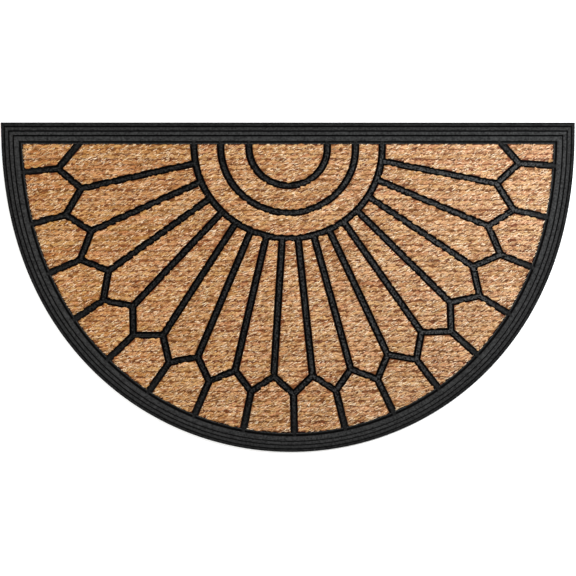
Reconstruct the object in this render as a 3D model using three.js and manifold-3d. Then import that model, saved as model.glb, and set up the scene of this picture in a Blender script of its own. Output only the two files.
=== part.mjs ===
// Half-round coir doormat: woven coir matting held in one black rubber moulding.
//
// The rubber is a thin backing, a border that climbs inwards in four ridges, and a web of ribs
// that leaves 38 openings in a sunburst: half rings in the middle of the straight edge, 17 petals
// around them and a row of cells along the curve. The coir is one sheet. It is pressed thin
// under the web and stands up through every opening as a field of coarse yarn.
//
// Millimetres, +Z up. X runs along the straight edge, which lies at +Y, and the curve faces -Y.
// The origin is on the floor under the middle of the mat.

import * as THREE from 'three';
import Module from 'manifold-3d';
import { mergeVertices } from 'three/addons/utils/BufferGeometryUtils.js';

// Footprint: 30 by 18 inches
const WIDTH = 762;
const DEPTH = 457;
const CURVE_POWER = 0.88; // under 1, so the curve is fuller than an ellipse
const CURVE_STEPS = 60;
const LEAN = 0.009; // the whole mat drifts sideways by this much for each millimetre of depth

// Levels above the floor, and what lies between them
const BACKING_TOP = 2.6;
const CLEARANCE = 0.3; // between rubber and coir
const PRESSED_COIR = 1.8;
const WEB_BOTTOM = BACKING_TOP + PRESSED_COIR + 2 * CLEARANCE;
const WEB_TOP = 6.3;
const RIB_TOP = 8.2;
const COIR_TOP = 8.7;
const FUSE = 0.2; // overlap of pieces that are joined into one

// Border ridges, measured inwards from the edge, with the floor of the groove inside each
const RIDGES = [
  { start: 0, end: 4.2, top: 3.9, groove: BACKING_TOP },
  { start: 5.1, end: 9.9, top: 5.3, groove: 3.6 },
  { start: 10.9, end: 15.8, top: 6.9, groove: 5 },
  { start: 16.8, end: 23.6, top: 9, groove: WEB_TOP },
];
const RIDGE_ROUNDING = 0.7;
const BORDER = RIDGES.at(-1).end;

// Ribs: a low flange that shows as a moat on each side of a raised bead
const FLANGE_WIDTH = 9.4;
const BEAD_WIDTH = 4.9;
const BEAD_ROUNDING = 0.6;
const SEAM_BEAD = { start: 25.3, end: 26.9, top: 7.3 }; // thin bead just inside the border

// Sunburst
const PETALS = 17;
const RAY_CENTRE = 26.1; // from the straight edge
const INNER_ROW = { halfWidth: 279.5, depth: 324.5 };
const OUTER_ROW = { halfWidth: 307, depth: 349 };
const ROW_POWER = 2.15;
const RING_CENTRE = 33.4; // from the straight edge
const RING_RADII = [52, 89.5, 125];
const RING_STEP = THREE.MathUtils.degToRad(7.5);
const PATTERN_TURN = THREE.MathUtils.degToRad(0.7);

const wasm = await Module();
wasm.setup();

// Plan points

const point = (x, depth) => new THREE.Vector2(x, DEPTH / 2 - depth);

function outlineAt(turn) {
  const depth = DEPTH * Math.sin(turn) ** CURVE_POWER;
  return point((WIDTH / 2) * Math.cos(turn) + LEAN * depth, depth);
}

// From the right corner round the curve to the left corner; the straight edge closes it
function outline() {
  const points = [point(WIDTH / 2, 0)];
  for (let step = 1; step < CURVE_STEPS; step += 1) {
    points.push(outlineAt((Math.PI * step) / CURVE_STEPS));
  }
  points.push(point(-WIDTH / 2, 0));
  return points;
}

const inward = (from, to) => {
  const along = to.clone().sub(from).normalize();
  return new THREE.Vector2(along.y, -along.x);
};

// Moves every side of a clockwise polygon inwards by its own distance
function inset(points, distanceOf) {
  const count = points.length;
  const side = (index) => inward(points[index], points[(index + 1) % count]);
  return points.map((corner, index) => {
    const before = (index + count - 1) % count;
    const [first, second] = [side(before), side(index)];
    const [a, b] = [distanceOf(before), distanceOf(index)];
    const cosine = first.dot(second);
    if (a === b) {
      return corner.clone().addScaledVector(first.add(second), a / (1 + cosine));
    }
    const spread = 1 - cosine * cosine;
    return corner.clone()
      .addScaledVector(first, (a - b * cosine) / spread)
      .addScaledVector(second, (b - a * cosine) / spread);
  });
}

const OUTLINE = outline();
const outlineInset = (distance) => inset(OUTLINE, () => distance);
const BORDER_LINE = outlineInset(BORDER);

// Sunburst lines, drawn in the mat's plan and then leaned and turned with it

function placed(local) {
  const centre = point(0, RAY_CENTRE);
  const turned = local.clone().rotateAround(centre, PATTERN_TURN);
  turned.x += LEAN * (DEPTH / 2 - turned.y);
  return turned;
}

function rowPoint(row, rayAngle) {
  const [cosine, sine] = [Math.cos(rayAngle), Math.sin(rayAngle)];
  const reach = (Math.abs(cosine) ** ROW_POWER + Math.abs(sine) ** ROW_POWER) ** (-1 / ROW_POWER);
  return point(row.halfWidth * reach * cosine, RAY_CENTRE + row.depth * reach * sine);
}

const innerPoint = (index) => rowPoint(INNER_ROW, (Math.PI * index) / PETALS);
const outerPoint = (index) => rowPoint(OUTER_ROW, (Math.PI * (index + 0.5)) / PETALS);
const ringPoint = (radius, turn) =>
  point(radius * Math.cos(turn), RING_CENTRE + radius * Math.sin(turn));

// Turn on the outer ring at which the spoke to an inner point leaves it
function spokeTurn(index) {
  const radius = RING_RADII.at(-1);
  const centre = point(0, RING_CENTRE);
  const tip = innerPoint(index);
  const heading = tip.clone().sub(point(0, RAY_CENTRE)).normalize();
  const back = tip.clone().sub(centre);
  const along = back.dot(heading);
  const run = along - Math.sqrt(along * along - back.lengthSq() + radius * radius);
  const root = back.addScaledVector(heading, -run);
  return Math.atan2(-root.y, root.x);
}

function ringArc(radius, from, to) {
  const steps = Math.max(1, Math.round(Math.abs(to - from) / RING_STEP));
  return Array.from({ length: steps + 1 }, (_, step) =>
    placed(ringPoint(radius, from + ((to - from) * step) / steps)));
}

// Where a rib that runs from one point through another reaches the border
function borderHit(from, through) {
  const heading = through.clone().sub(from);
  for (let side = 0; side < BORDER_LINE.length; side += 1) {
    const start = BORDER_LINE[side];
    const edge = BORDER_LINE[(side + 1) % BORDER_LINE.length].clone().sub(start);
    const gap = start.clone().sub(from);
    const scale = heading.cross(edge);
    const reach = gap.cross(edge) / scale;
    const share = gap.cross(heading) / scale;
    if (reach > 0 && share >= 0 && share < 1) {
      return { along: side + share, spot: start.clone().addScaledVector(edge, share) };
    }
  }
  throw new Error('a rib misses the border');
}

// Even points of the border line from one place to another, both given in its sides
function borderRun(from, to) {
  const steps = Math.max(1, Math.round(Math.abs(to - from)));
  return Array.from({ length: steps + 1 }, (_, step) => {
    const along = from + ((to - from) * step) / steps;
    const side = Math.min(Math.floor(along), CURVE_STEPS - 1);
    return BORDER_LINE[side].clone().lerp(BORDER_LINE[side + 1], along - side);
  });
}

// Radial ribs stand square to the row of outer points
function ribHead(index) {
  const foot = outerPoint(index);
  const angle = (Math.PI * (index + 0.5)) / PETALS;
  const square = new THREE.Vector2(
    Math.cos(angle) / OUTER_ROW.halfWidth,
    -Math.sin(angle) / OUTER_ROW.depth,
  ).normalize();
  return borderHit(placed(foot), placed(foot.clone().add(square)));
}

// The zigzag's two ends, and the straight legs of the half rings, reach the straight edge's border
const zigzagEnd = (outerIndex, innerIndex) =>
  borderHit(placed(outerPoint(outerIndex)), placed(innerPoint(innerIndex))).spot;
const FIRST_END = zigzagEnd(0, 0);
const LAST_END = zigzagEnd(PETALS - 1, PETALS);

function legTop(radius, turn) {
  const foot = ringPoint(radius, turn);
  const above = foot.clone();
  above.y += 1;
  return borderHit(placed(foot), placed(above)).spot;
}

// Cells: corners { at, edge } on the rib centre lines, where edge says what the next side follows

const rib = (...points) => points.map((at) => ({ at, edge: 'rib' }));
const border = (...points) => points.map((at) => ({ at, edge: 'border' }));

function petal(index) {
  const radius = RING_RADII.at(-1);
  const first = index === 0;
  const last = index === PETALS - 1;
  const from = first ? 0 : spokeTurn(index);
  const to = last ? Math.PI : spokeTurn(index + 1);
  return [
    ...(first ? border(legTop(radius, 0)) : []),
    ...rib(first ? FIRST_END : placed(innerPoint(index))),
    ...rib(placed(outerPoint(index))),
    ...(last ? border(LAST_END) : rib(placed(innerPoint(index + 1)))),
    ...(last ? rib(legTop(radius, Math.PI)) : []),
    ...rib(...ringArc(radius, to, from)),
  ];
}

function edgeCell(index) {
  const first = index === 0;
  const last = index === PETALS;
  const start = first ? 0 : ribHead(index - 1).along;
  const end = last ? CURVE_STEPS : ribHead(index).along;
  const run = borderRun(end, start);
  return [
    ...(first ? [] : rib(placed(outerPoint(index - 1)))),
    ...(first || last ? [] : rib(placed(innerPoint(index)))),
    ...(last ? [] : rib(placed(outerPoint(index)))),
    ...(last ? border(LAST_END) : []),
    ...border(...run.slice(0, -1)),
    ...(first ? border(run.at(-1)) : rib(run.at(-1))),
    ...(first ? rib(FIRST_END) : []),
  ];
}

function ringCell(index) {
  const outer = RING_RADII[index];
  const shape = [
    ...rib(legTop(outer, 0)),
    ...rib(...ringArc(outer, 0, Math.PI)),
    ...border(legTop(outer, Math.PI)),
  ];
  if (index === 0) return shape;
  const inner = RING_RADII[index - 1];
  return [
    ...shape,
    ...rib(legTop(inner, Math.PI)),
    ...rib(...ringArc(inner, Math.PI, 0)),
    ...border(legTop(inner, 0)),
  ];
}

const CELLS = [
  ...RING_RADII.map((_, index) => ringCell(index)),
  ...Array.from({ length: PETALS }, (_, index) => petal(index)),
  ...Array.from({ length: PETALS + 1 }, (_, index) => edgeCell(index)),
].map((cell) => (THREE.ShapeUtils.isClockWise(cell.map(({ at }) => at)) ? cell : reversed(cell)));

function reversed(cell) {
  const back = [...cell].reverse();
  return back.map(({ at }, index) => ({ at, edge: back[(index + 1) % back.length].edge }));
}

function cellInset(cell, fromRib, fromBorder) {
  const distance = { rib: fromRib, border: fromBorder };
  return inset(cell.map(({ at }) => at), (side) => distance[cell[side].edge]);
}

// Solids

function toManifold(geometry) {
  const bare = geometry.clone();
  bare.deleteAttribute('normal');
  bare.deleteAttribute('uv');
  const merged = mergeVertices(bare, 1e-4);
  return new wasm.Manifold(new wasm.Mesh({
    numProp: 3,
    vertProperties: new Float32Array(merged.attributes.position.array),
    triVerts: new Uint32Array(merged.index.array),
  }));
}

function toGeometry(solid) {
  const { vertProperties, triVerts } = solid.getMesh();
  const geometry = new THREE.BufferGeometry();
  geometry.setAttribute('position', new THREE.BufferAttribute(vertProperties, 3));
  geometry.setIndex(new THREE.BufferAttribute(triVerts, 1));
  geometry.computeVertexNormals();
  return geometry;
}

// A plate with that plan from one height to another
function plate(plan, from, to) {
  const geometry = new THREE.ExtrudeGeometry(new THREE.Shape(plan), {
    depth: to - from,
    bevelEnabled: false,
  });
  return toManifold(geometry.translate(0, 0, from));
}

// The same, but it swells beyond the plan between two beveled rims
function swollenPlate(plan, from, to, rounding) {
  const geometry = new THREE.ExtrudeGeometry(new THREE.Shape(plan), {
    depth: to - from - 2 * rounding,
    bevelSize: rounding,
    bevelThickness: rounding,
    bevelSegments: 1,
  });
  return toManifold(geometry.translate(0, 0, from + rounding));
}

const joined = (solids) => solids.reduce((whole, next) => whole.add(next));

const FOOT = BACKING_TOP / 2; // upper pieces of the rubber start inside the backing

// One ridge of the border, with its two upper edges beveled
function ridgeRing({ start, end, top }) {
  const air = top + 2 * RIDGE_ROUNDING;
  const crown = swollenPlate(outlineInset(start + RIDGE_ROUNDING), FOOT, top, RIDGE_ROUNDING);
  const skirt = plate(outlineInset(start), FOOT, FOOT + 2 * RIDGE_ROUNDING);
  const well = plate(outlineInset(end), 0, air);
  const flare = swollenPlate(outlineInset(end), top - RIDGE_ROUNDING, air, RIDGE_ROUNDING);
  return crown.add(skirt).subtract(well.add(flare));
}

// The terrace that a ridge stands on, whose top is the floor of the groove inside that ridge
function terrace({ start, end, groove }) {
  const well = plate(outlineInset(BORDER), 0, groove + FUSE);
  return plate(outlineInset((start + end) / 2), FOOT, groove).subtract(well);
}

// The flange of every rib, one sheet with an opening for each cell
function web(plan) {
  const openings = CELLS.map((cell) =>
    plate(cellInset(cell, FLANGE_WIDTH / 2, FLANGE_WIDTH / 2), 0, RIB_TOP));
  return plate(plan, WEB_BOTTOM, WEB_TOP).subtract(joined(openings));
}

// The beads of every rib, left standing between the moats of the cells
function ribBeads(plan) {
  const air = RIB_TOP + 2 * BEAD_ROUNDING;
  const moats = CELLS.flatMap((cell) => {
    const moat = cellInset(cell, BEAD_WIDTH / 2, 0);
    return [
      plate(moat, 0, air),
      swollenPlate(moat, RIB_TOP - BEAD_ROUNDING, air, BEAD_ROUNDING),
    ];
  });
  return plate(plan, WEB_TOP - FUSE, RIB_TOP).subtract(joined(moats));
}

function seamBead({ start, end, top }) {
  const well = plate(outlineInset(end), 0, RIB_TOP);
  return plate(outlineInset(start), WEB_TOP - FUSE, top).subtract(well);
}

function rubberMoulding() {
  const [, second, third, last] = RIDGES;
  const webPlan = outlineInset((last.start + last.end) / 2);
  return toGeometry(joined([
    plate(OUTLINE, 0, BACKING_TOP),
    ...RIDGES.map(ridgeRing),
    terrace(second),
    terrace(third),
    web(webPlan),
    ribBeads(webPlan),
    seamBead(SEAM_BEAD),
  ]));
}

// One woven sheet: pressed thin under the web, at full height in every cell
function coirMatting() {
  const bottom = BACKING_TOP + CLEARANCE;
  const top = bottom + PRESSED_COIR;
  const edge = FLANGE_WIDTH / 2 + CLEARANCE;
  return toGeometry(joined([
    plate(outlineInset(BORDER + CLEARANCE), bottom, top),
    ...CELLS.map((cell) => plate(cellInset(cell, edge, edge), top - FUSE, COIR_TOP)),
  ]));
}

const group = new THREE.Group();

const rubber = new THREE.Mesh(
  rubberMoulding(),
  new THREE.MeshStandardMaterial({ color: 0x232426, roughness: 0.75, metalness: 0 }),
);
rubber.name = 'rubber_moulding';
group.add(rubber);

const coir = new THREE.Mesh(
  coirMatting(),
  new THREE.MeshStandardMaterial({ color: 0xb88b62, roughness: 0.95, metalness: 0 }),
);
coir.name = 'coir_matting';
group.add(coir);

export default group;
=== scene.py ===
# %% [markdown]
# This lesson dresses a half-round coir doormat. The real mat has two parts: a sheet of coarse
# woven coir, and a black rubber moulding that is cast around it. The rubber is a thin backing, a
# border that climbs inwards in four ridges, and a web of ribs that draws a sunburst. The coir is
# pressed thin under the ribs and stands up between them.
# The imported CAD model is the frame. It gives every place and size, and everything here is made
# around it, in metres, with Z up and the curve of the mat facing -Y.

# %% Load the frame
import math

import bmesh
import bpy
import numpy as np
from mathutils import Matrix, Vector


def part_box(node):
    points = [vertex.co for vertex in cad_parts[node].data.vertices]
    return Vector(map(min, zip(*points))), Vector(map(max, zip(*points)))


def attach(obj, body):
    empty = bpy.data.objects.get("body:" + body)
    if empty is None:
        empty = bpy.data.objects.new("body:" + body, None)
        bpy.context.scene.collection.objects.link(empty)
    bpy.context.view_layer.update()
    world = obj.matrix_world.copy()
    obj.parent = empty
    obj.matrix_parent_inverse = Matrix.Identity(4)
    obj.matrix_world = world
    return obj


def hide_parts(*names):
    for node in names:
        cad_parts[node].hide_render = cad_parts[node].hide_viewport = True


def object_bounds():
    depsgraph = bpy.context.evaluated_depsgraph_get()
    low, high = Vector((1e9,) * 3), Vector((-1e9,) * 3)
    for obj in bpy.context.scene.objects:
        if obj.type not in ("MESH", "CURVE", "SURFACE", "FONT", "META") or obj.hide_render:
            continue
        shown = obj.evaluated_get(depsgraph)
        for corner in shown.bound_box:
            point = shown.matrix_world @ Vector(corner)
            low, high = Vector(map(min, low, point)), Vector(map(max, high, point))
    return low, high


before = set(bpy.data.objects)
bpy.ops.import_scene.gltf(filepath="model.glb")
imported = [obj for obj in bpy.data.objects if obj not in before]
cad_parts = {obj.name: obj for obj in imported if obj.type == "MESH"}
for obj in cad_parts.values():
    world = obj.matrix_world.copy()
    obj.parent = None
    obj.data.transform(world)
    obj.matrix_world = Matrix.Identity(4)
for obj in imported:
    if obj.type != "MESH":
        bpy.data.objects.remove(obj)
cad_low, cad_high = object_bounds()
MM = 0.001
print("CAD box, mm:", [round(side / MM, 1) for side in cad_high - cad_low])

# %% [markdown]
# The camera and the light come first, because every later choice is judged through them. The mat
# was photographed from above with a long lens that leaned 16.5 degrees beyond the straight side:
# the half rings look flattened by that much, and the border looks wider there than along the
# curve. The mat fills the width of a square picture, and its straight edge is 122 pixels below
# the top. The scale was measured along that edge, so the camera's distance is set from there.

# %% Camera
IMAGE_SIDE = 576
MM_PER_PIXEL = 1.3264
MAT_TOP_PIXEL = 122.35
MAT_MIDDLE_PIXEL = 287.8
CAMERA_LEAN = 16.5
ELEVATION = math.radians(90 + CAMERA_LEAN)
LENS = 0.800
SENSOR = 0.036


def towards_camera():
    return Vector((0, -math.cos(ELEVATION), math.sin(ELEVATION)))


def picture_centre(floor_height):
    """The point of the mat, at that height, that lies in the middle of the picture."""
    pixel = MM_PER_PIXEL * MM
    across = (IMAGE_SIDE / 2 - MAT_MIDDLE_PIXEL) * pixel
    down = (IMAGE_SIDE / 2 - MAT_TOP_PIXEL) * pixel
    depth = (down + floor_height * math.cos(ELEVATION)) / math.sin(ELEVATION)
    return Vector((across, cad_high.y - depth, floor_height))


camera_data = bpy.data.cameras.new("camera")
camera_data.lens = LENS / MM
camera_data.sensor_width = SENSOR / MM
camera = bpy.data.objects.new("camera", camera_data)
bpy.context.scene.collection.objects.link(camera)
centre = picture_centre(cad_high.z)
edge_distance = IMAGE_SIDE * MM_PER_PIXEL * MM * LENS / SENSOR
distance = edge_distance - (cad_high.y - centre.y) * math.cos(ELEVATION)
camera.location = centre + towards_camera() * distance
camera.rotation_euler = (math.pi / 2 - ELEVATION, 0, 0)
camera_data.clip_end = 4 * distance
bpy.context.scene.camera = camera
print("camera distance, m:", round(distance, 2))

# %% [markdown]
# The photograph is an even product picture on white. A white world lights all sides alike. The
# key light stands beyond the straight edge, to the right, so that side of the border is brighter
# and the moats stay dark. A small light lifts the right end and a large soft one the left.

# %% Light
WORLD_GLOW = 0.3


def soft_light(name, place, aim, size, power, tint=(1, 1, 1)):
    data = bpy.data.lights.new(name, "AREA")
    data.color = tint
    data.shape = "DISK"
    data.size = size
    data.energy = power
    lamp = bpy.data.objects.new(name, data)
    bpy.context.scene.collection.objects.link(lamp)
    lamp.location = place
    lamp.rotation_euler = (Vector(aim) - Vector(place)).to_track_quat("-Z", "Y").to_euler()


world = bpy.data.worlds.new("studio")
world.use_nodes = True
world.node_tree.nodes["Background"].inputs["Color"].default_value = (1, 1, 1, 1)
world.node_tree.nodes["Background"].inputs["Strength"].default_value = WORLD_GLOW
bpy.context.scene.world = world
bpy.context.scene.view_settings.view_transform = "Standard"
soft_light("key_light", place=(0.7, 0.95, 1.15), aim=(0.1, 0.1, 0), size=0.45, power=21.2)
soft_light(
    "right_light",
    place=(0.66, 0.25, 0.42),
    aim=(0.30, 0.0, 0),
    size=0.2,
    power=2.6,
    tint=(0.93, 0.99, 1.0),
)
soft_light(
    "fill_light",
    place=(-0.75, 0.0, 1.0),
    aim=(-0.2, 0, 0),
    size=0.7,
    power=8.5,
    tint=(1.0, 0.99, 0.95),
)
print("lights:", len(bpy.data.lights))

# %% [markdown]
# The floor is a sheet of white paper. In the photograph it is overexposed, so the sheet glows a
# little here and comes out white as well. One grid face does for it. The helper that turns a bmesh
# into an object serves every piece.

# %% Floor
FLOOR_SIDE = 12.0
FLOOR_GLOW = 0.35


def object_of(bm, name):
    """A new object in the scene with the bmesh as its mesh."""
    mesh = bpy.data.meshes.new(name)
    bm.to_mesh(mesh)
    bm.free()
    made = bpy.data.objects.new(name, mesh)
    bpy.context.scene.collection.objects.link(made)
    return made


bm = bmesh.new()
bmesh.ops.create_grid(bm, x_segments=1, y_segments=1, size=FLOOR_SIDE / 2)
floor = object_of(bm, "floor")
floor_finish = bpy.data.materials.new("floor_paint")
floor_finish.use_nodes = True
floor_shader = floor_finish.node_tree.nodes["Principled BSDF"]
floor_shader.inputs["Base Color"].default_value = (0.8, 0.8, 0.8, 1)
floor_shader.inputs["Roughness"].default_value = 0.9
floor_shader.inputs["Emission Color"].default_value = (1, 1, 1, 1)
floor_shader.inputs["Emission Strength"].default_value = FLOOR_GLOW
floor.data.materials.append(floor_finish)
print("floor side, m:", FLOOR_SIDE)

# %% [markdown]
# Both parts follow one drawing, so the drawing is read off the frame: the flat top of the coir's
# CAD solid has one outline for each of the 38 fields, and the flat underside of the rubber has the
# outline of the mat. A bmesh copy is merged, every face off that level is deleted, and the edges
# that are left on the rim are walked round.

# %% Plan outlines from the frame
TOUCH = 0.01 * MM


def merged_copy(cad_node):
    """A bmesh of a CAD solid, with its loose triangles merged."""
    bm = bmesh.new()
    bm.from_mesh(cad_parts[cad_node].data)
    bmesh.ops.remove_doubles(bm, verts=bm.verts, dist=TOUCH)
    return bm


def plan_area(loop):
    return sum(a.cross(b) for a, b in zip(loop, loop[1:] + loop[:1])) / 2


def flat_outlines(cad_node, height):
    """Outlines of a CAD solid's flat faces at that height, as counter-clockwise plan points."""
    bm = merged_copy(cad_node)
    off_level = [
        face for face in bm.faces if any(abs(vert.co.z - height) > TOUCH for vert in face.verts)
    ]
    bmesh.ops.delete(bm, geom=off_level, context="FACES")
    outlines = []
    for first in [edge for edge in bm.edges if edge.is_boundary]:
        if first.tag:
            continue
        start, vert = first.verts
        first.tag = True
        loop = [start]
        while vert != start:
            loop.append(vert)
            onward = next(e for e in vert.link_edges if e.is_boundary and not e.tag)
            onward.tag = True
            vert = onward.other_vert(vert)
        outlines.append([vert.co.xy.copy() for vert in loop])
    bm.free()
    return [loop if plan_area(loop) > 0 else loop[::-1] for loop in outlines]


coir_low, coir_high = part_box("coir_matting")
floor_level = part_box("rubber_moulding")[0].z
cad_fields = flat_outlines("coir_matting", coir_high.z)
cad_outline = flat_outlines("rubber_moulding", floor_level)[0]
print("fields:", len(cad_fields), "outline points:", len(cad_outline))

# %% [markdown]
# CAD curves are short straight sides. The eye sees such corners on a moulded edge, so each side
# that stands for part of a curve is split in three along a cubic curve. A corner counts as part of
# a curve when it turns by less than 12 degrees.

# %% Smooth curves
SMOOTH_TURN = math.radians(12)
CURVE_PARTS = 3


def turned(vector, angle):
    cosine, sine = math.cos(angle), math.sin(angle)
    return Vector((vector.x * cosine - vector.y * sine, vector.x * sine + vector.y * cosine))


def smoothed(loop):
    """The same outline with more points on the stretches that are curves."""
    count = len(loop)
    sides = [loop[(i + 1) % count] - loop[i] for i in range(count)]
    turns = [
        math.atan2(sides[i - 1].cross(sides[i]), sides[i - 1].dot(sides[i])) for i in range(count)
    ]
    points = []
    for i, side in enumerate(sides):
        begin, end = turns[i], turns[(i + 1) % count]
        points.append(loop[i])
        if max(abs(begin), abs(end)) > SMOOTH_TURN:
            continue
        leave, arrive = turned(side, -begin / 2), turned(side, end / 2)
        for part in range(1, CURVE_PARTS):
            t = part / CURVE_PARTS
            points.append(
                loop[i]
                + side * (3 * t**2 - 2 * t**3)
                + leave * (t**3 - 2 * t**2 + t)
                + arrive * (t**3 - t**2)
            )
    return points


outline = smoothed(cad_outline)
fields = [smoothed(loop) for loop in cad_fields]
print("outline points:", len(outline), "field points:", sum(len(loop) for loop in fields))

# %% [markdown]
# A toolmaker draws the steps of a mould as lines parallel to an edge. Blender's inset works on the
# faces of a mesh and gives every side one distance. Here a rib and the border need different ones,
# so a helper moves each side of an outline inwards by its own distance and mitres the corners.

# %% Parallel lines


def inset(loop, distances):
    """Moves every side of a counter-clockwise outline inwards by its own distance."""
    count = len(loop)
    if not hasattr(distances, "__len__"):
        distances = [distances] * count
    sides = [(loop[(i + 1) % count] - loop[i]).normalized() for i in range(count)]
    inward = [Vector((-side.y, side.x)) for side in sides]
    moved = []
    for i, corner in enumerate(loop):
        first, second = inward[i - 1], inward[i]
        a, b = distances[i - 1], distances[i]
        cosine = first.dot(second)
        if a == b:
            moved.append(corner + (first + second) * (a / (1 + cosine)))
        else:
            spread = 1 - cosine**2
            moved.append(
                corner + first * ((a - b * cosine) / spread) + second * ((b - a * cosine) / spread)
            )
    return moved


print("area 10 mm inside the edge, m2:", round(plan_area(inset(outline, 10 * MM)), 3))

# %% [markdown]
# The weave needs the opposite: how deep inside an outline any point lies, and which way is
# inwards. The nearest side gives both, and the number of sides that a line to the right crosses
# tells inside from outside. Whole arrays of points are measured at once, which keeps it quick.

# %% Depths inside an outline


def plan_distance(points, loop):
    """Signed distance of plan points from an outline, positive inside, and the way inwards."""
    points = np.asarray(points, float)
    starts = np.array([tuple(p) for p in loop])
    sides = np.roll(starts, -1, axis=0) - starts
    lengths = np.linalg.norm(sides, axis=1)
    away = points[:, None] - starts[None]
    share = np.clip((away * sides).sum(2) / lengths**2, 0, 1)
    gap = away - share[..., None] * sides
    apart = np.linalg.norm(gap, axis=2)
    nearest = apart.argmin(axis=1)
    row = np.arange(len(points))
    ends = starts + sides
    above = (starts[:, 1] > points[:, None, 1]) != (ends[:, 1] > points[:, None, 1])
    rise = np.where(sides[:, 1] == 0, 1, sides[:, 1])
    crossing = starts[:, 0] + (points[:, None, 1] - starts[:, 1]) / rise * sides[:, 0]
    inside = (above & (points[:, None, 0] < crossing)).sum(axis=1) % 2 == 1
    normals = np.stack([-sides[:, 1], sides[:, 0]], axis=1) / lengths[:, None]
    return np.where(inside, 1, -1) * apart[row, nearest], normals[nearest]


middle_depth = plan_distance([tuple(((cad_low + cad_high) / 2).xy)], outline)[0][0]
print("depth of the mat's middle, mm:", round(middle_depth / MM, 1))

# %% [markdown]
# The rubber is one moulding. Its CAD solid has the right levels but sharp edges, and rubber leaves
# a mould with every edge rounded, which is what catches the light here. It could be beveled, but
# tiny edges where ribs meet the border would stop a bevel. So it is lofted: a face with the plan
# of the mat is extruded again and again, and each time its points go to the next parallel line and
# level. The profile of the border is a list of such lines and levels. Ridges are in millimetres.

# %% Profile of the border
BACKING_TOP = 2.6
# The last value of each ridge sets how pale its top is; the outer, lower ridges are darker.
RIDGES = [
    {"start": 0.0, "end": 4.2, "top": 3.9, "groove": BACKING_TOP, "top_tone": 0.45},
    {"start": 5.1, "end": 9.9, "top": 5.3, "groove": 3.6, "top_tone": 0.8},
    {"start": 10.9, "end": 15.8, "top": 6.9, "groove": 5.0, "top_tone": 1.0},
    {"start": 16.8, "end": 23.6, "top": 9.0, "groove": BACKING_TOP, "top_tone": 1.0},
]
BORDER = RIDGES[-1]["end"] * MM
FOOT_ROUNDING = 0.4
RIDGE_ROUNDING = 1.1
RIDGE_CROWN = 0.15
ROUNDING_STEPS = 4


def quarter():
    """Sine and cosine along a quarter turn."""
    angles = [math.pi / 2 * step / ROUNDING_STEPS for step in range(ROUNDING_STEPS + 1)]
    return [(math.sin(angle), math.cos(angle)) for angle in angles]


def border_profile():
    """Pairs of inset and height, in metres, from the mat's edge over the four ridges."""
    profile = [(FOOT_ROUNDING, 0.0), (0.0, FOOT_ROUNDING)]
    for ridge, following in zip(RIDGES, [*RIDGES[1:], None]):
        start, end, top = ridge["start"], ridge["end"], ridge["top"]
        shoulder = top - RIDGE_CROWN
        profile += [
            (start + RIDGE_ROUNDING * (1 - c), shoulder - RIDGE_ROUNDING * (1 - s))
            for s, c in quarter()
        ]
        profile.append(((start + end) / 2, top))
        profile += [
            (end - RIDGE_ROUNDING * (1 - s), shoulder - RIDGE_ROUNDING * (1 - c))
            for s, c in quarter()
        ]
        profile.append((end, ridge["groove"]))
        if following:
            profile.append((following["start"], ridge["groove"]))
    return [(inwards * MM, height * MM) for inwards, height in profile]


print("levels in the border's profile:", len(border_profile()))

# %% [markdown]
# A loft needs rings with the same number of points. The first ring gets a face, each step extrudes
# that face and moves its points to the next ring, and a last face closes the bottom, because the
# first one has gone up. The booleans further on need solids that are closed like this.

# %% Loft the border


def at_height(loop, height):
    return [Vector((point.x, point.y, height)) for point in loop]


def loft(bm, rings):
    """A closed solid through rings of points, made by extruding one face from ring to ring."""
    base = [bm.verts.new(place) for place in rings[0]]
    top = bm.faces.new(base)
    for ring in rings[1:]:
        top = bmesh.ops.extrude_discrete_faces(bm, faces=[top])["faces"][0]
        for vert, place in zip(top.verts, ring):
            vert.co = place
    bm.faces.new(base[::-1])


def solid(name, *ring_lists):
    """An object with one lofted solid for each list of rings."""
    bm = bmesh.new()
    for rings in ring_lists:
        loft(bm, rings)
    if bm.calc_volume(signed=True) < 0:
        bmesh.ops.reverse_faces(bm, faces=bm.faces)
    return object_of(bm, name)


def parallel_rings(profile):
    """Rings along the mat's outline for pairs of inset and height."""
    return [at_height(inset(outline, inwards), height) for inwards, height in profile]


moulding = solid("moulding", parallel_rings(border_profile()))
print("border faces:", len(moulding.data.polygons))

# %% [markdown]
# The web of ribs is a plate with one plug cut out for each field. A plug is as wide as the field
# below and narrower above, in steps that leave a moat and half of a rounded bead on the side of
# every rib. Where two plugs meet at a rib, their halves make the whole bead, mitred at each joint,
# because both follow the same centre line. Against the border the plug has no bead. The flange
# reaches a hair further than the CAD solid's and closes the clearance, since real rubber is
# pressed against the coir.

# %% Plugs between the ribs
WEB_BOTTOM = 5.0 * MM
WEB_TOP = 6.3 * MM
RIB_TOP = 8.2 * MM
FLANGE_HALF = 4.7 * MM
CLEARANCE = 0.3 * MM
FIELD_EDGE = FLANGE_HALF + CLEARANCE
FLANGE_REACH = FIELD_EDGE + 0.3 * MM
BEAD_HALF = 2.45 * MM
BEAD_ROUNDING = 1.0 * MM
BEAD_DRAFT = 0.1 * MM
MOAT_ROUNDING = 0.3 * MM
HIDDEN_LAP = 0.3 * MM
OVERCUT = 1.0 * MM
PLUG_HEAD = 0.9
NEAR_BORDER = 0.2 * MM


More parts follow.
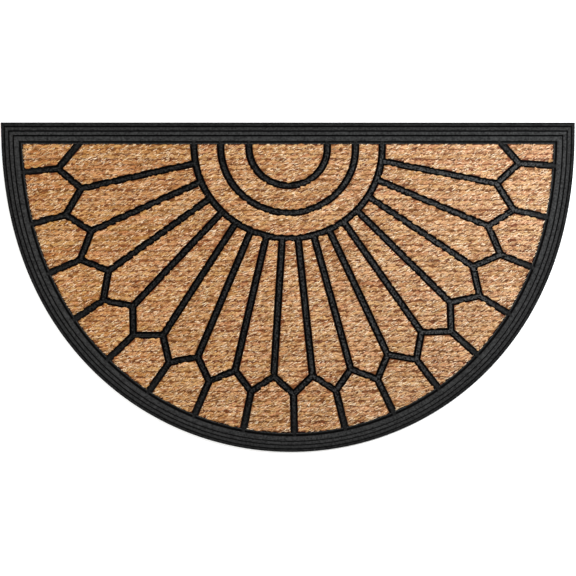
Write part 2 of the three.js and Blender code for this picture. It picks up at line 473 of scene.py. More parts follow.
def plug_profile():
    """Triples of inset from a rib, inset from the border and height, from above downwards."""
    flat = BEAD_HALF - BEAD_ROUNDING
    foot = BEAD_HALF + BEAD_DRAFT
    profile = [(flat * PLUG_HEAD, -HIDDEN_LAP, RIB_TOP + OVERCUT)]
    profile += [
        (flat + BEAD_ROUNDING * s, -HIDDEN_LAP, RIB_TOP - BEAD_ROUNDING * (1 - c))
        for s, c in quarter()
    ]
    profile += [
        (foot, -HIDDEN_LAP, WEB_TOP + MOAT_ROUNDING),
        (foot + MOAT_ROUNDING, -HIDDEN_LAP, WEB_TOP),
        (FLANGE_REACH - MOAT_ROUNDING, FLANGE_REACH - MOAT_ROUNDING, WEB_TOP),
        (FLANGE_REACH, FLANGE_REACH, WEB_TOP - MOAT_ROUNDING),
        (FLANGE_REACH, FLANGE_REACH, WEB_BOTTOM - OVERCUT),
    ]
    return profile


def border_sides(field):
    """For each side of a field, whether it follows the border and not a rib."""
    depth, _ = plan_distance([tuple(point) for point in inset(field, -FIELD_EDGE)], outline)
    on_border = np.abs(depth - BORDER) < NEAR_BORDER
    return on_border & np.roll(on_border, -1)


def plug_rings(field):
    """Rings of the plug over one field."""
    cell = inset(field, -FIELD_EDGE)
    sides = border_sides(field)
    return [
        at_height(inset(cell, [by_border if side else by_rib for side in sides]), height)
        for by_rib, by_border, height in plug_profile()
    ]


plugs = solid("plugs", *[plug_rings(field) for field in fields])
print("plug faces:", len(plugs.data.polygons))

# %% [markdown]
# Just inside the border a thin bead runs round all the fields, beyond a moat. It is a ring between
# two parallel lines. Ring, web and border are joined by exact booleans, as one pour of rubber
# joins them in the mould, so the finish runs over all of them without a seam.

# %% Join the rubber
SEAM = {"start": 26.2 * MM, "end": 27.9 * MM, "top": 7.4 * MM, "rounding": 0.6 * MM}
FUSE = 0.2 * MM


def combine(target, tool, operation):
    """Joins the tool to the target or cuts it away, and removes the tool."""
    boolean = target.modifiers.new(operation.lower(), "BOOLEAN")
    boolean.solver = "MANIFOLD"
    boolean.operation = operation
    boolean.object = tool
    depsgraph = bpy.context.evaluated_depsgraph_get()
    mesh = bpy.data.meshes.new_from_object(target.evaluated_get(depsgraph))
    target.modifiers.clear()
    target.data = mesh
    bpy.data.objects.remove(tool)


def thin_bead():
    """The ring of rubber round all the fields."""
    low, top, rounding = WEB_TOP - FUSE, SEAM["top"], SEAM["rounding"]
    start, end = SEAM["start"], SEAM["end"]
    bead = [(start, low), (start, top - rounding), (start + rounding, top)]
    well = [(end, low - OVERCUT), (end, top - rounding), (end - 2 * rounding, top + rounding)]
    ring = solid("thin_bead", parallel_rings(bead))
    combine(ring, solid("bead_well", parallel_rings(well)), "DIFFERENCE")
    return ring


innermost = RIDGES[-1]
web_reach = (innermost["start"] / 2 + innermost["end"] / 2) * MM
web = solid("web", parallel_rings([(web_reach, WEB_BOTTOM), (web_reach, RIB_TOP)]))
combine(web, plugs, "DIFFERENCE")
combine(web, thin_bead(), "UNION")
combine(moulding, web, "UNION")
print("moulding faces:", len(moulding.data.polygons))

# %% [markdown]
# Coir matting is woven from thick two-ply yarn, laid in rows 7 mm apart and tied down by thin warp
# strings. Between the two rows of each pair the strings pull small pits open, in a brick pattern.
# They are the dark specks of the photograph. No loom is exact, and a plain grid would look
# printed, so rows and pits wander a little, by smooth waves with seeded random starts.

# %% Rows and pits of the weave
ROW_PITCH = 7.0 * MM
ROW_UNEVEN = 0.42 * MM
FIRST_ROW = 3.4 * MM
ROW_WANDER = {
    "sway": {"size": 0.38 * MM, "wavelengths": (37, 83, 19)},
    "bulge": {"size": 0.09, "wavelengths": (29, 61, 13)},
    "lift": {"size": 0.25 * MM, "wavelengths": (23, 47)},
    "twist": {"size": 0.8, "wavelengths": (53, 110, 170)},
}
PIT_PITCH = 50 * MM
PIT_UNEVEN = 1.5 * MM

rng = np.random.default_rng(11)
coir_top_edge = max(point.y for loop in fields for point in loop)
coir_low_edge = min(point.y for loop in fields for point in loop)
row_count = int((coir_top_edge - coir_low_edge - FIRST_ROW) / ROW_PITCH) + 1
row_heights = [
    coir_top_edge - FIRST_ROW - ROW_PITCH * row + rng.normal(0, ROW_UNEVEN)
    for row in range(row_count)
]


def wander(size, wavelengths):
    """A smooth random line along X, as a function. The wavelengths are in millimetres."""
    waves = [(length * MM, rng.uniform(0, 2 * math.pi)) for length in wavelengths]

    def value(x):
        return size * sum(np.sin(2 * math.pi * x / length + turn) for length, turn in waves)

    return value


def pits_of(pair):
    """Places along X of the pits between the two rows of a pair."""
    shift = PIT_PITCH / 2 if pair % 2 else 0
    places = np.arange(cad_low.x + shift, cad_high.x, PIT_PITCH)
    return places + rng.normal(0, PIT_UNEVEN, len(places))


pits = [pits_of(pair) for pair in range(math.ceil(row_count / 2))]
pit_places = np.array(
    [(x, row_heights[2 * pair] - ROW_PITCH / 2) for pair, row in enumerate(pits) for x in row]
)
rows = [
    {
        "height": height,
        **{name: wander(**waves) for name, waves in ROW_WANDER.items()},
        "start": rng.uniform(0, 2 * math.pi),
    }
    for height in row_heights
]
print("rows of yarn:", row_count, "pits:", len(pit_places))

# %% [markdown]
# Under the rubber the yarn is squeezed flat, and it swells again inside each field. Bump in a
# finish would not show that, so it is in the shape. Short functions say how far the yarn has
# swollen at a depth inside its field, how thick it is there, and how the pits pull it aside.

# %% Squeeze and pull of the yarn
PLY_TUCK = 0.8 * MM
EDGE_SLOPE = 2.2 * MM
SQUEEZED_SIZE = 0.5
PIT_PULL = 0.8 * MM
PIT_SPREAD = 4.5 * MM


def swell(depth):
    """From 0 where the yarn is squeezed under the rubber to 1 where it stands at full height."""
    share = np.clip((depth + PLY_TUCK) / (EDGE_SLOPE + PLY_TUCK), 0, 1)
    return share * share * (3 - 2 * share)


def plump(share):
    """How thick the yarn is for that share of its height."""
    return SQUEEZED_SIZE + (1 - SQUEEZED_SIZE) * share


def pit_pull(row, x):
    """How far the strings pull a row aside at its pits."""
    gap = np.abs(x[:, None] - pits[row // 2]).min(axis=1)
    side = 1 if row % 2 == 0 else -1
    return side * PIT_PULL * np.exp(-((gap / PIT_SPREAD) ** 2))


print("share of full height 1 mm inside an edge:", round(float(swell(1 * MM)), 2))

# %% [markdown]
# Each row is two plies that wind round each other like a rope, and every ply is a path of its
# own. Near the edge of its field it grows thinner and dives under the rib, and there it ends.
# Where an edge runs along the rows, a row that would lie half under it is pushed into the field.

# %% Paths of the plies
PLY_RADIUS = 1.95 * MM
PLY_SIDEWAYS = 1.7 * MM
PLY_UPWARDS = 0.6 * MM
PLY_TURN = 19.0 * MM
PLY_STEP = 2.3 * MM
FEWEST_POINTS = 3
SQUEEZED_LEVEL = 3.9 * MM
FULL_LEVEL = 5.6 * MM
EDGE_ROOM = 2.0 * MM
ALONG_ROWS = 0.8


def runs_of(shown):
    """Index ranges of the stretches where a row of yes and no says yes."""
    edges = np.flatnonzero(np.diff(np.concatenate([[0], shown.astype(int), [0]])))
    return list(zip(edges[::2], edges[1::2]))


def plies(field):
    """Paths of the plies in one field: rows of x, y, z and radius."""
    low = min(point.x for point in field) - 2 * PLY_STEP
    high = max(point.x for point in field) + 2 * PLY_STEP
    bottom, top = min(point.y for point in field), max(point.y for point in field)
    paths = []
    for number, row in enumerate(rows):
        if not bottom - ROW_PITCH < row["height"] < top + ROW_PITCH:
            continue
        x = np.arange(low, high, PLY_STEP)
        y = row["height"] + row["sway"](x) + pit_pull(number, x)
        depth, way_in = plan_distance(np.stack([x, y], axis=1), field)
        along_edge = np.abs(way_in[:, 1]) > ALONG_ROWS
        pushed = np.where(along_edge, np.clip(EDGE_ROOM - depth, 0, EDGE_ROOM + PLY_TUCK), 0)
        share = swell(depth + pushed)
        y = y + way_in[:, 1] * pushed
        radius = PLY_RADIUS * plump(share) * (1 + row["bulge"](x))
        level = SQUEEZED_LEVEL + (FULL_LEVEL - SQUEEZED_LEVEL) * share + row["lift"](x) * share
        for ply in range(2):
            turn = -2 * math.pi * x / PLY_TURN + row["start"] + row["twist"](x) + math.pi * ply
            sideways = PLY_SIDEWAYS * plump(share) * np.cos(turn)
            upwards = PLY_UPWARDS * share * np.sin(turn)
            path = np.stack([x, y + sideways, level + upwards, radius], axis=1)
            for begin, end in runs_of(depth > -PLY_TUCK):
                if end - begin >= FEWEST_POINTS:
                    paths.append(path[begin:end])
    return paths


print("plies in the first field:", len(plies(fields[0])))

# %% [markdown]
# Curves are the quick way to a tube: each path is a spline, its points carry the radius, and one
# small polygon is swept along all of them. The result is turned into a mesh and its end caps are
# merged on, so that every ply is closed.

# %% Tubes along paths


def small_polygon(sides):
    """A ring of that many sides with a radius of one, which the splines' radius scales."""
    ring = bpy.data.curves.new("ring", "CURVE")
    corners = ring.splines.new("POLY")
    corners.points.add(sides - 1)
    for index, corner in enumerate(corners.points):
        turn = 2 * math.pi * index / sides
        corner.co = (math.cos(turn), math.sin(turn), 0, 1)
    corners.use_cyclic_u = True
    return bpy.data.objects.new("ring", ring)


def tubes(name, paths, sides):
    """One mesh object with a closed tube along each path."""
    ring = small_polygon(sides)
    curve = bpy.data.curves.new(name, "CURVE")
    curve.dimensions = "3D"
    curve.twist_mode = "Z_UP"
    curve.bevel_mode = "OBJECT"
    curve.bevel_object = ring
    curve.use_fill_caps = True
    for path in paths:
        spline = curve.splines.new("POLY")
        spline.points.add(len(path) - 1)
        places = np.ones((len(path), 4))
        places[:, :3] = path[:, :3]
        spline.points.foreach_set("co", places.ravel())
        spline.points.foreach_set("radius", path[:, 3].copy())
    swept = bpy.data.objects.new(name + "_curve", curve)
    for helper in (swept, ring):
        bpy.context.scene.collection.objects.link(helper)
    depsgraph = bpy.context.evaluated_depsgraph_get()
    mesh = bpy.data.meshes.new_from_object(swept.evaluated_get(depsgraph))
    for helper in (swept, ring):
        bpy.data.objects.remove(helper)
    bm = bmesh.new()
    bm.from_mesh(mesh)
    bpy.data.meshes.remove(mesh)
    bmesh.ops.remove_doubles(bm, verts=bm.verts, dist=0.001 * MM)
    made = object_of(bm, name)
    made.data.shade_smooth()
    return made


# %% [markdown]
# One mesh with all the yarn would be too heavy, and so would one with all the strands. The fields
# are shared out from left to right, and yarn, strands and hairs each make three pieces.

# %% Yarn
YARN_SIDES = 5


def in_parts(names):
    """Shares the fields' numbers out from left to right, so that the parts have equal areas."""
    ordered = sorted(range(len(fields)), key=lambda number: np.mean(fields[number], axis=0)[0])
    share = sum(plan_area(field) for field in fields) / len(names)
    numbers = {name: [] for name in names}
    done = 0
    for number in ordered:
        area = plan_area(fields[number])
        numbers[names[int((done + area / 2) / share)]].append(number)
        done += area
    return numbers


def woven(label, paths_of, sides):
    """Three objects, left, middle and right, with the paths of all their fields as tubes."""
    made = []
    for part, numbers in parts.items():
        paths = [path for number in numbers for path in paths_of(number)]
        made.append(tubes(f"{label}_{part}", paths, sides))
        print(f"{label}_{part}: {len(paths)} tubes, {len(made[-1].data.polygons)} faces")
    return made


parts = in_parts(["left", "middle", "right"])
yarns = woven("yarn", lambda number: plies(fields[number]), YARN_SIDES)

# %% [markdown]
# What makes coir look like coir is its fibres. They are stiff and never even. Strands, which are
# bundles of them, stand out of the plies all over, and single hairs lie across them. Hair
# particles would be quick, but they know nothing of the ribs. So the surface of the yarn is worked
# out first: how high it is at any point, and where its furrows are. Along the border the coir
# bulges a little over the bead. The pits stay open, and so do many small gaps, where the eye looks
# down between the fibres.

# %% Surface and gaps of the yarn
PILE = 0.4 * MM
ROW_FURROW = 0.4 * MM
BORDER_BULGE = 1.1 * MM
PIT_HALF = np.array([1.7, 1.1]) * MM
PIT_REACH = 2 * MM
GAPS = {"per_m2": 22000, "half": (0.5, 1.1), "shape": np.array([1.5, 0.7])}


def coir_edge(field):
    """The field's outline, moved out a little where it follows the border."""
    return inset(field, [-BORDER_BULGE if side else 0.0 for side in border_sides(field)])


def furrow(place):
    """From 0 on the middle of a row of yarn to 1 in the furrow between two rows."""
    row = np.interp(-place[:, 1], [-height for height in row_heights], range(row_count))
    return (1 - np.cos(2 * math.pi * row)) / 2


def coir_surface(place, depth):
    """Height of the tops of the yarn at plan points with that depth inside a field."""
    share = swell(depth)
    full = FULL_LEVEL + PLY_UPWARDS + PILE - ROW_FURROW * furrow(place)
    return SQUEEZED_LEVEL + (full - SQUEEZED_LEVEL) * share + PLY_RADIUS * plump(share)


def inside_points(loop, count):
    """Random plan points inside an outline."""
    low, high = np.min(loop, axis=0), np.max(loop, axis=0)
    found = np.zeros((0, 2))
    while len(found) < count:
        tries = rng.uniform(low, high, (2 * count, 2))
        depth, _ = plan_distance(tries, loop)
        found = np.concatenate([found, tries[depth > 0]])
    return found[:count]


def holes_of(loop):
    """Places and half sizes of the pits and of the small gaps between fibres in one field."""
    low, high = np.min(loop, axis=0) - PIT_REACH, np.max(loop, axis=0) + PIT_REACH
    near = ((pit_places > low) & (pit_places < high)).all(axis=1)
    gaps = inside_points(loop, int(plan_area(loop) * GAPS["per_m2"]))
    sizes = rng.uniform(*GAPS["half"], len(gaps))[:, None] * GAPS["shape"] * MM
    pit_sizes = np.tile(PIT_HALF, (near.sum(), 1))
    return np.concatenate([pit_places[near], gaps]), np.concatenate([pit_sizes, sizes])


edges = [coir_edge(field) for field in fields]
holes = [holes_of(loop) for loop in edges]
print("pits and gaps:", sum(len(places) for places, _ in holes))

# %% [markdown]
# Strands and hairs are thin bowed tubes whose ends sink into the yarn. A table gives the sizes of
# each kind, in millimetres and degrees, so that they are easy to judge against the photograph.
# Each tube has only a few faces because there are thousands. No tube may bridge a pit or a gap,
# so a helper tests the paths, at their points and halfway between them.

# %% Sizes of strands and hairs
STRANDS = {
    "per_m2": 150000,
    "sides": 4,
    "points": 4,
    "length": (3.0, 6.4),
    "radius": (0.32, 0.64),
    "slant": 24,
    "spread": 13,
    "bow": 0.12,
    "rise": (-0.8, 0.55),
    "sink": (0.5, 1.3),
}
HAIRS = {
    "per_m2": 85000,
    "sides": 3,
    "points": 4,
    "length": (4.0, 9.0),
    "radius": (0.11, 0.22),
    "slant": 24,
    "spread": 35,
    "bow": 0.18,
    "rise": (0.0, 0.6),
    "sink": (0.3, 1.0),
}


def clear_of(holes, paths):
    """Whether each path passes clear of all the holes."""
    places, sizes = holes
    finer = np.concatenate([paths, (paths[:, 1:] + paths[:, :-1]) / 2], axis=1)
    away = (finer.reshape(-1, 1, 2) - places[None]) / sizes[None]
    return (away**2).sum(axis=2).min(axis=1).reshape(finer.shape[:2]).min(axis=1) > 1


print("strands and hairs in a square metre:", STRANDS["per_m2"], HAIRS["per_m2"])

# %% [markdown]
# One function strews both kinds. Most tubes lie in the slant of the twist, and they lie closest
# together over the furrows between rows. Where one would cross the edge of its field it is bent
# back along the edge, as the rubber bends it in the mould.

# %% Strands and hairs
END_TAPER = 0.4
EDGE_GAP = 0.3 * MM
ROW_BARE = 0.45


def strewn(number, kind):
    """Paths of the strands or hairs on the field of that number: rows of x, y, z and radius."""
    loop = edges[number]
    count = int(plan_area(loop) * kind["per_m2"])
    middle = inside_points(loop, count)
    slant = np.radians(rng.normal(kind["slant"], kind["spread"], count))
    length = rng.uniform(*kind["length"], count) * MM
    radius = rng.uniform(*kind["radius"], count) * MM
    bow = rng.normal(0, kind["bow"], count) * length
    rise = rng.uniform(*kind["rise"], count) * MM
    sink = rng.uniform(*kind["sink"], count) * MM
    along = np.stack([np.cos(slant), np.sin(slant)], axis=1)
    across = np.stack([-along[:, 1], along[:, 0]], axis=1)
    paths = np.zeros((count, kind["points"], 4))
    for point, share in enumerate(np.linspace(-0.5, 0.5, kind["points"])):
        end = 4 * share**2
        place = middle + along * (length * share)[:, None] + across * (bow * (1 - end))[:, None]
        depth, way_in = plan_distance(place, loop)
        thick = radius * (1 - END_TAPER * end)
        place += way_in * np.clip(thick + EDGE_GAP - depth, 0, None)[:, None]
        height = coir_surface(place, np.maximum(depth, 0)) + rise - sink * end
        paths[:, point] = np.column_stack([place, np.maximum(height, WEB_TOP + thick), thick])
    clear = clear_of(holes[number], paths[:, :, :2])
    return list(paths[clear & (rng.random(count) > ROW_BARE * (1 - furrow(middle)))])


strands = woven("strands", lambda number: strewn(number, STRANDS), STRANDS["sides"])
hairs = woven("hairs", lambda number: strewn(number, HAIRS), HAIRS["sides"])

# %% [markdown]
# In each pit one of the warp strings shows: a thin hard-spun twine, darker than the coir. Only the
# piece that crosses the pit can be seen, so each string is a short sagging tube.

# %% Warp strings
STRING = {"radius": 0.4 * MM, "top": 8.1 * MM, "sag": 0.9 * MM, "half": 2.6 * MM, "lean": 0.25}
STRING_SIDES = 5


def strings(field):
    """Paths of the warp strings in the pits of one field."""
    depth, _ = plan_distance(pit_places, field)
    paths = []
    for x, y in pit_places[depth > STRING["half"]]:
        lean = rng.normal(0, STRING["lean"])
        path = [
            (
                x + lean * share * STRING["half"],
                y + share * STRING["half"],
                STRING["top"] - STRING["sag"] * (1 - share**2),
                STRING["radius"],
            )
            for share in (-1.0, -0.4, 0.4, 1.0)
        ]
        paths.append(np.array(path))
    return paths


warp = tubes("warp_strings", [path for field in fields for path in strings(field)], STRING_SIDES)
print("warp_strings:", len(warp.data.polygons), "faces")

# %% [markdown]
# Under the yarn lies the ground of the matting: the sheet as the rubber holds it, thin and flat
# below the ribs. Its CAD solid has the right plan, so a merged copy is taken, and its fields are
# lowered until the upper half of the yarn stands out of them. It shows in the gaps, with the
# darkest coir tone as painted shade.

# %% Ground of the matting
GROUND_TOP = 6.2 * MM

bm = merged_copy("coir_matting")
for vert in bm.verts:
    vert.co.z = min(vert.co.z, GROUND_TOP)
ground = object_of(bm, "matting_ground")
print("ground faces:", len(ground.data.polygons))

# %% [markdown]
# Rubber tells its shape by its edges. The tops of ridges and ribs are scuffed and dusty, and the
# moats and grooves beside them are painted near black, which is painted shade. A vertex attribute
# says how near to its own ridge's top a point lies, from 0 in a groove, where shade is painted, up
# to the tone of that top, and the rubber's finish reads it. The outer, lower ridges and the ribs
# among the coir have darker tops. Towards the right end the ribs grow paler, a painted sheen, and
# the dust on them lies in blotches, so a second attribute says how blotchy the dust is.

# %% Dust, painted shade and painted sheen on the rubber
SHADE_FADE = 1.3 * MM
# How pale the ribs' tops are, before their dust along X.
RIB_TOP_TONE = 0.52
# Dust on the ribs, growing along X: the growth is painted sheen towards the right end.
RIB_DUST_AND_SHEEN = {"middle": 0.95, "per_metre": 4.2, "least": 0.65}
RIB_BLOTCHES = 3.0
SHARP_EDGE = math.radians(40)


def mark_dust_sheen_and_shade(piece):
    places = np.array([tuple(vert.co) for vert in piece.data.vertices])
    depth, _ = plan_distance(places[:, :2], outline)
    inner = depth > SEAM["end"] + TOUCH
    top = np.where(inner, RIB_TOP, SEAM["top"])
    # Paler along X: painted sheen towards the right end, over the ribs' dust.
    dust = RIB_DUST_AND_SHEEN["middle"] + RIB_DUST_AND_SHEEN["per_metre"] * places[:, 0]
    top_tone = np.where(inner, RIB_TOP_TONE * np.maximum(dust, RIB_DUST_AND_SHEEN["least"]), 1.0)
    for ridge in RIDGES:
        start, end = ridge["start"] * MM - TOUCH, ridge["end"] * MM + TOUCH
        within = (depth >= start) & (depth <= end)
        top = np.where(within, ridge["top"] * MM, top)
        top_tone = np.where(within, ridge["top_tone"], top_tone)
    # Below each top this fades to 0, so the grooves and moats get painted shade.
    raised = top_tone * np.clip(1 - (top - places[:, 2]) / SHADE_FADE, 0, 1)
    blotchy = np.where(inner, RIB_BLOTCHES, 1.0)
    for name, values in [("raised", raised), ("blotchy", blotchy)]:
        attribute = piece.data.attributes.new(name, "FLOAT", "POINT")
        attribute.data.foreach_set("value", values.astype(np.float32))
    print("raised share:", round(float((raised > 0.5).mean()), 2))


mark_dust_sheen_and_shade(moulding)
moulding.data.shade_smooth()
moulding.data.set_sharp_from_angle(angle=SHARP_EDGE)

# %% [markdown]
# Two effects are used by more than one finish, so each is a node group. The first is fine grain:
# soft noise as a value and as a bumped normal, for the skin of rubber and of fibre. The second is
# streaks: noise that is stretched along the slant of the plies, which is how a bundle of fibres
# looks from a step away. Nodes are wordy in Python, so a few short helpers come first: they add
# a node with its values, a sum, a ramp or a group, and keep the finishes readable.

# %% Helpers for nodes


def node(tree, kind, **settings):
    """Adds a shader node, sets its properties and, by the socket's name, its inputs."""
    made = tree.nodes.new(kind)
    for name, value in settings.items():
        if hasattr(made, name):
            setattr(made, name, value)
        else:
            made.inputs[name.replace("_", " ")].default_value = value
    return made


def math_node(tree, operation, *values):
    made = node(tree, "ShaderNodeMath", operation=operation)
    for socket, value in zip(made.inputs, values):
        if isinstance(value, (int, float)):
            socket.default_value = value
        else:
            tree.links.new(value, socket)
    return made.outputs[0]


def ramp(tree, stops):
    made = tree.nodes.new("ShaderNodeValToRGB")
    while len(made.color_ramp.elements) < len(stops):
        made.color_ramp.elements.new(0.5)
    for element, (place, colour) in zip(made.color_ramp.elements, stops):
        element.position = place
        element.color = (*colour, 1)
    return made


def group_of(name, inputs, outputs):
    """An empty shader node group with named number inputs and named outputs."""
    tree = bpy.data.node_groups.new(name, "ShaderNodeTree")
    for socket, value in inputs.items():
        made = tree.interface.new_socket(socket, in_out="INPUT", socket_type="NodeSocketFloat")
        made.default_value = value
    for socket, kind in outputs.items():
        tree.interface.new_socket(socket, in_out="OUTPUT", socket_type=f"NodeSocket{kind}")
    given, out = tree.nodes.new("NodeGroupInput"), tree.nodes.new("NodeGroupOutput")
    return tree, given.outputs, out.inputs


def placed_group(tree, group, **values):
    made = tree.nodes.new("ShaderNodeGroup")
    made.node_tree = group
    for name, value in values.items():
        made.inputs[name].default_value = value
    return made


# %% [markdown]
# Both groups read the object's own coordinates, so the pattern stays on the mat when it moves. Its
# size comes from the group's inputs, and each finish gives its own. Streaks are noise with a long
# and a short size, turned by the slant that the strands have.

# %% Fine grain and fibre streaks


def scaled_noise(tree, sizes, rotation=(0, 0, 0), **settings):
    """Noise on the object's own coordinates, with a size from a socket for each axis."""
    coordinates = node(tree, "ShaderNodeTexCoord")
    size = node(tree, "ShaderNodeCombineXYZ")
    place = node(tree, "ShaderNodeMapping", vector_type="TEXTURE", Rotation=rotation)
    noise = node(tree, "ShaderNodeTexNoise", Scale=1, **settings)
    for axis, socket in zip("XYZ", sizes):
        tree.links.new(socket, size.inputs[axis])
    tree.links.new(size.outputs["Vector"], place.inputs["Scale"])
    tree.links.new(coordinates.outputs["Object"], place.inputs["Vector"])
    tree.links.new(place.outputs["Vector"], noise.inputs["Vector"])
    return noise.outputs["Fac"]


def fine_grain():
    tree, given, out = group_of(
        "fine_grain",
        {"Size": 0.001, "Strength": 0.3, "Depth": 0.0001},
        {"Value": "Float", "Normal": "Vector"},
    )
    noise = scaled_noise(tree, [given["Size"]] * 3, Detail=3, Roughness=0.6)
    bump = node(tree, "ShaderNodeBump")
    tree.links.new(noise, bump.inputs["Height"])
    tree.links.new(given["Strength"], bump.inputs["Strength"])
    tree.links.new(given["Depth"], bump.inputs["Distance"])
    tree.links.new(noise, out["Value"])
    tree.links.new(bump.outputs["Normal"], out["Normal"])
    return tree


def fibre_streaks():
    tree, given, out = group_of(
        "fibre_streaks",
        {"Length": 0.006, "Width": 0.0006},
        {"Value": "Float"},
    )
    sizes = [given["Length"], given["Width"], given["Width"]]
    slant = (0, 0, math.radians(STRANDS["slant"]))
    noise = scaled_noise(tree, sizes, slant, Detail=2, Roughness=0.55)
    tree.links.new(noise, out["Value"])
    return tree


GRAIN = fine_grain()
STREAKS = fibre_streaks()
print("node groups:", [group.name for group in bpy.data.node_groups])

# %% [markdown]
# Coir is straw coloured and never even: each fibre has its own tone, from dark bark brown to pale
# straw. Blender gives every separate island of a mesh a random number, which makes the tone of a
# strand or ply, so that most are pale and a few are dark. Streaks and broad patches are added, and
# small dark flecks, which are painted shade where the eye would look into holes between the
# fibres. The ground, and less so the yarn, are darker than the strands, painted shade in the gaps
# below them. A table says how much of each goes into the five finishes.

# %% Tones of coir
COIR_TONES = [
    (0.00, (0.128, 0.033, 0.003)),
    (0.25, (0.370, 0.160, 0.047)),
    (0.50, (0.615, 0.360, 0.170)),
    (0.75, (0.785, 0.548, 0.332)),
    (1.00, (0.920, 0.780, 0.585)),
]
COIR_FINISHES = {
    # The ground's middle of 0 is painted shade in the gaps; the yarn's middle, lower than the
    # strands', is partly painted shade.
    "coir_yarn": {"middle": 0.345, "own": 0.25, "streaks": 0.7, "gap_shade": 1.5},
    "coir_strand": {"middle": 0.53, "own": 1.5, "streaks": 0.5, "gap_shade": 1.4},
    "coir_hair": {"middle": 0.56, "own": 1.1, "streaks": 0.0, "gap_shade": 0.0},
    "coir_ground": {"middle": 0.0, "own": 0.2, "streaks": 0.4, "gap_shade": 0.0},
    "warp_string": {"middle": 0.12, "own": 0.3, "streaks": 0.0, "gap_shade": 0.0},
}
DARK_TAIL = 0.4
PATCHES = 0.4
GAP_SHADE_EDGES = {"From_Min": 0.60, "From_Max": 0.65}


def varied(tree, tone, value, gain):
    """The tone, changed by a value from 0 to 1 that leaves it as it is at a half."""
    change = math_node(tree, "MULTIPLY_ADD", value, gain, -gain / 2)
    return math_node(tree, "ADD", tone, change)


def coir_tone(tree, number, middle, own, streaks, gap_shade):
    """Tone from 0 dark to 1 pale, round a middle, from an island's random number and noise."""
    fibre = placed_group(tree, STREAKS, Length=0.0035, Width=0.0005).outputs["Value"]
    broad = placed_group(tree, GRAIN, Size=0.016, Strength=0.0, Depth=0.0).outputs["Value"]
    small = placed_group(tree, STREAKS, Length=0.003, Width=0.0014).outputs["Value"]
    tone = math_node(tree, "POWER", number, DARK_TAIL)
    tone = math_node(tree, "MULTIPLY_ADD", tone, own, middle - own / (1 + DARK_TAIL))
    tone = varied(tree, tone, fibre, streaks)
    tone = varied(tree, tone, broad, PATCHES)
    gap_shade_range = node(tree, "ShaderNodeMapRange", **GAP_SHADE_EDGES)
    tree.links.new(small, gap_shade_range.inputs["Value"])
    # Dark flecks are taken off the tone: painted shade where holes between the fibres would be.
    return math_node(tree, "MULTIPLY_ADD", gap_shade_range.outputs["Result"], -gap_shade, tone)


print("coir finishes:", list(COIR_FINISHES))

# %% [markdown]
# A ramp turns the tone into colour. One colour ramp would make all fibres alike in hue, but some
# are yellower and some pinker, so the same random number, scrambled, shifts the hue. Towards the
# mat's right end its colours lose strength along X, a painted sheen that pales the coir there.

# %% Coir finish
HUE_SPREAD = 0.02
HUE_SCRAMBLE = 37.7
RIGHT_END_SHEEN = -0.21


def coir_finish(name):
    material = bpy.data.materials.new(name)
    material.use_nodes = True
    tree = material.node_tree
    shader = tree.nodes["Principled BSDF"]
    shader.inputs["Roughness"].default_value = 0.6
    shader.inputs["Specular IOR Level"].default_value = 0.35
    number = node(tree, "ShaderNodeNewGeometry").outputs["Random Per Island"]
    colour = ramp(tree, COIR_TONES)
    tree.links.new(coir_tone(tree, number, **COIR_FINISHES[name]), colour.inputs["Fac"])
    other = math_node(tree, "FRACT", math_node(tree, "MULTIPLY", number, HUE_SCRAMBLE))
    hue = math_node(tree, "MULTIPLY_ADD", other, HUE_SPREAD, 0.5 - HUE_SPREAD / 2)
    across = node(tree, "ShaderNodeSeparateXYZ")
    tree.links.new(node(tree, "ShaderNodeTexCoord").outputs["Object"], across.inputs["Vector"])
    # Saturation falls along X: painted sheen towards the right end.
    sheen_paling = math_node(tree, "MULTIPLY_ADD", across.outputs["X"], RIGHT_END_SHEEN, 1.0)
    shift = node(tree, "ShaderNodeHueSaturation")
    tree.links.new(hue, shift.inputs["Hue"])
    tree.links.new(sheen_paling, shift.inputs["Saturation"])
    tree.links.new(colour.outputs["Color"], shift.inputs["Color"])
    grain = placed_group(tree, GRAIN, Size=0.0004, Strength=0.6, Depth=0.0002)
    tree.links.new(shift.outputs["Color"], shader.inputs["Base Color"])
    tree.links.new(grain.outputs["Normal"], shader.inputs["Normal"])
    return material


def dress(pieces, finish):
    for piece in pieces:
        piece.data.materials.clear()
        piece.data.materials.append(finish)


for name, pieces in zip(COIR_FINISHES, [yarns, strands, hairs, [ground], [warp]]):
    dress(pieces, coir_finish(name))
print("finishes made:", [material.name for material in bpy.data.materials])
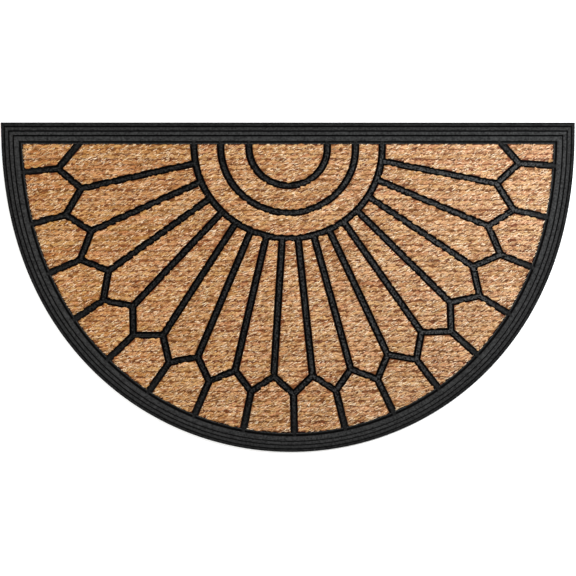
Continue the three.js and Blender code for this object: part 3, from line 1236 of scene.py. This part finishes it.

# %% [markdown]
# Moulded rubber is nearly black and dull. One dark grey would do for its colour, but then the
# ridges and ribs would melt into their moats. So dust is worked out from soft specks and broader
# scuffs, and the attribute lets it lie only on the tops, while the moats and grooves go nearly
# black, which is painted shade. Two ramps turn it into colour and roughness, since dust is paler
# and scuffed rubber shines a little more. A fine grain roughens the skin, and its gloss is low and
# even.

# %% Rubber finish
# From near black, painted shade in the grooves and moats, to pale dust on the tops.
RUBBER_SHADE_TO_DUST = [(0.0, (0.0006, 0.0006, 0.0007)), (1.0, (0.056, 0.056, 0.0565))]
RUBBER_ROUGHNESS = [(0.0, (0.9, 0.9, 0.9)), (1.0, (0.62, 0.62, 0.62))]
SPECKS = 1.8
SCUFFS = 0.25
DUST = 0.375


def rubber_finish():
    material = bpy.data.materials.new("moulded_rubber")
    material.use_nodes = True
    tree = material.node_tree
    shader = tree.nodes["Principled BSDF"]
    shader.inputs["Specular IOR Level"].default_value = 0.03
    raised = node(tree, "ShaderNodeAttribute", attribute_name="raised").outputs["Fac"]
    blotchy = node(tree, "ShaderNodeAttribute", attribute_name="blotchy").outputs["Fac"]
    scuffs = placed_group(tree, GRAIN, Size=0.008, Strength=0.0, Depth=0.0).outputs["Value"]
    specks = placed_group(tree, GRAIN, Size=0.0026, Strength=0.0, Depth=0.0).outputs["Value"]
    specks = math_node(tree, "MULTIPLY_ADD", specks, SPECKS, -SPECKS / 2)
    dust = math_node(tree, "MULTIPLY_ADD", specks, blotchy, DUST)
    dust = math_node(tree, "MULTIPLY_ADD", scuffs, SCUFFS, dust)
    # Dust on the tops, painted shade in the grooves and moats.
    dust_sheen_and_shade_tone = math_node(tree, "MULTIPLY", raised, dust)
    for socket, stops in [("Base Color", RUBBER_SHADE_TO_DUST), ("Roughness", RUBBER_ROUGHNESS)]:
        made = ramp(tree, stops)
        tree.links.new(dust_sheen_and_shade_tone, made.inputs["Fac"])
        tree.links.new(made.outputs["Color"], shader.inputs[socket])
    grain = placed_group(tree, GRAIN, Size=0.0007, Strength=0.5, Depth=0.00012)
    tree.links.new(grain.outputs["Normal"], shader.inputs["Normal"])
    return material


dress([moulding], rubber_finish())
print("materials:", len(bpy.data.materials))

# %% [markdown]
# Last, every piece is tied to the frame. The mat has no joint, so all ride on its one body. The
# moulding and the ground stand for the two CAD solids, which are hidden. The matting's area is
# worked out for the size that it was cut to: the outline of the mat less the border.

# %% Tie the pieces to the frame
fibrous = [*yarns, *strands, *hairs, warp]
for piece in [moulding, ground, *fibrous]:
    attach(piece, "root")
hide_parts("rubber_moulding")
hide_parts("coir_matting")
plan_area(inset(outline, BORDER + CLEARANCE))
print("pieces:", 2 + len(fibrous))
